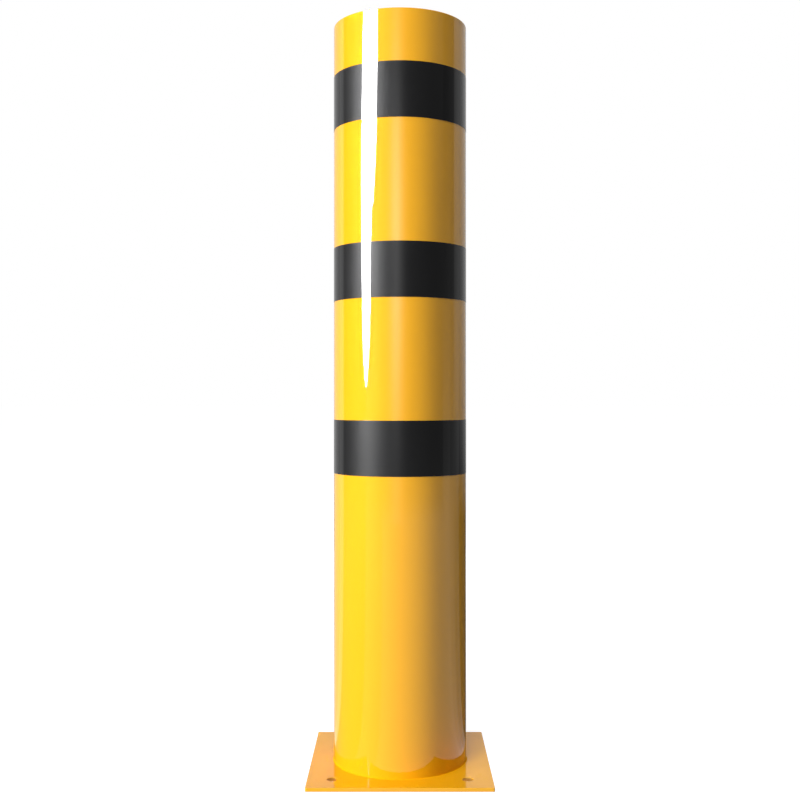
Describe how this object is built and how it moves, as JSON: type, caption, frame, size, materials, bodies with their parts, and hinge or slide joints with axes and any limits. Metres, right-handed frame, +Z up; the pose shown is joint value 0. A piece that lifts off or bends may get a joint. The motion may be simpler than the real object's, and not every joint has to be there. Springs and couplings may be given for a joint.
{
  "type": "safety bollard",
  "caption": "Surface-mounted safety bollard: a capped round steel post welded to a drilled square base plate, coated yellow and ringed with black film bands.",
  "frame": {"origin": "middle of the base plate's underside, on the floor", "axes": "+Z up along the post; +X and +Y square to the base plate's edges, with the film laps facing +Y"},
  "size_m": [0.24, 0.24, 1],
  "materials": {
    "yellow_coat": "smooth high-gloss traffic-yellow coat on steel",
    "black_film": "glossy black self-adhesive film"
  },
  "bodies": {
    "root": {"base_plate": "yellow_coat", "post_tube": "yellow_coat", "foot_weld": "yellow_coat", "top_cap": "yellow_coat", "cap_weld": "yellow_coat", "band_upper": "black_film", "band_middle": "black_film", "band_lower": "black_film"}
  },
  "joints": []
}
